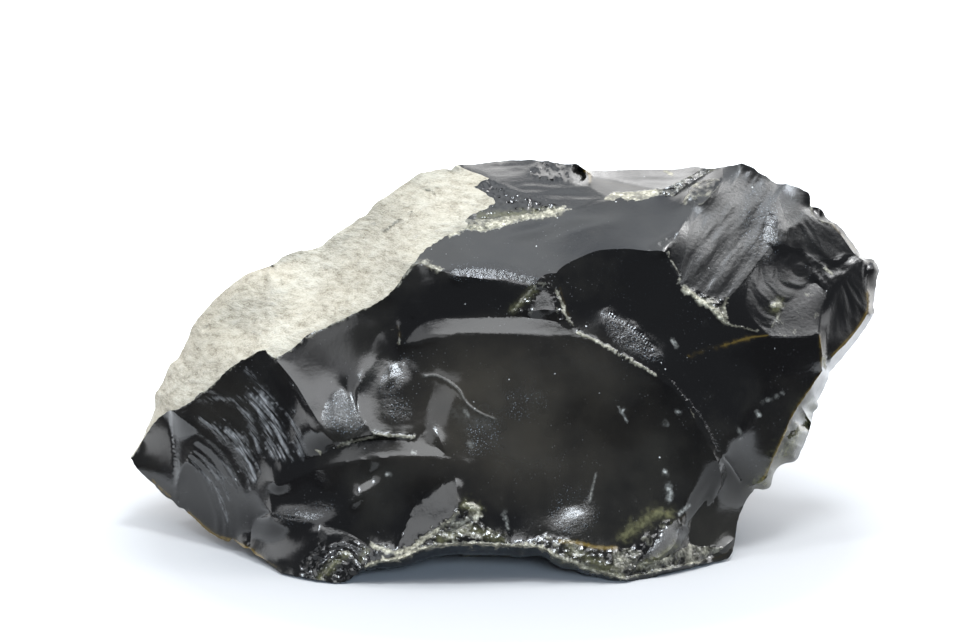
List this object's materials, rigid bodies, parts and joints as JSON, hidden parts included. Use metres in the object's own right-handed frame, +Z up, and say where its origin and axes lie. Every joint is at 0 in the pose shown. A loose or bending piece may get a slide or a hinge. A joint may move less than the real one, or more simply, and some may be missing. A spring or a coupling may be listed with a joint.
{
  "type": "obsidian chunk",
  "caption": "Hand-sized lump of black volcanic glass with shell-shaped fracture scars and a pale weathered crust, standing on a flat facet.",
  "frame": {"origin": "middle of the lump's bounding box at the level of the flat rest facet", "axes": "+X to the right along the longest side, -Y towards the front with the largest scar, +Z up from the rest facet"},
  "size_m": [0.1538, 0.0824, 0.0753],
  "materials": {
    "obsidian": "opaque black volcanic glass, polished-looking fracture faces, pale matt crust at the top left"
  },
  "bodies": {
    "root": {"obsidian_chunk": "obsidian"}
  },
  "joints": []
}
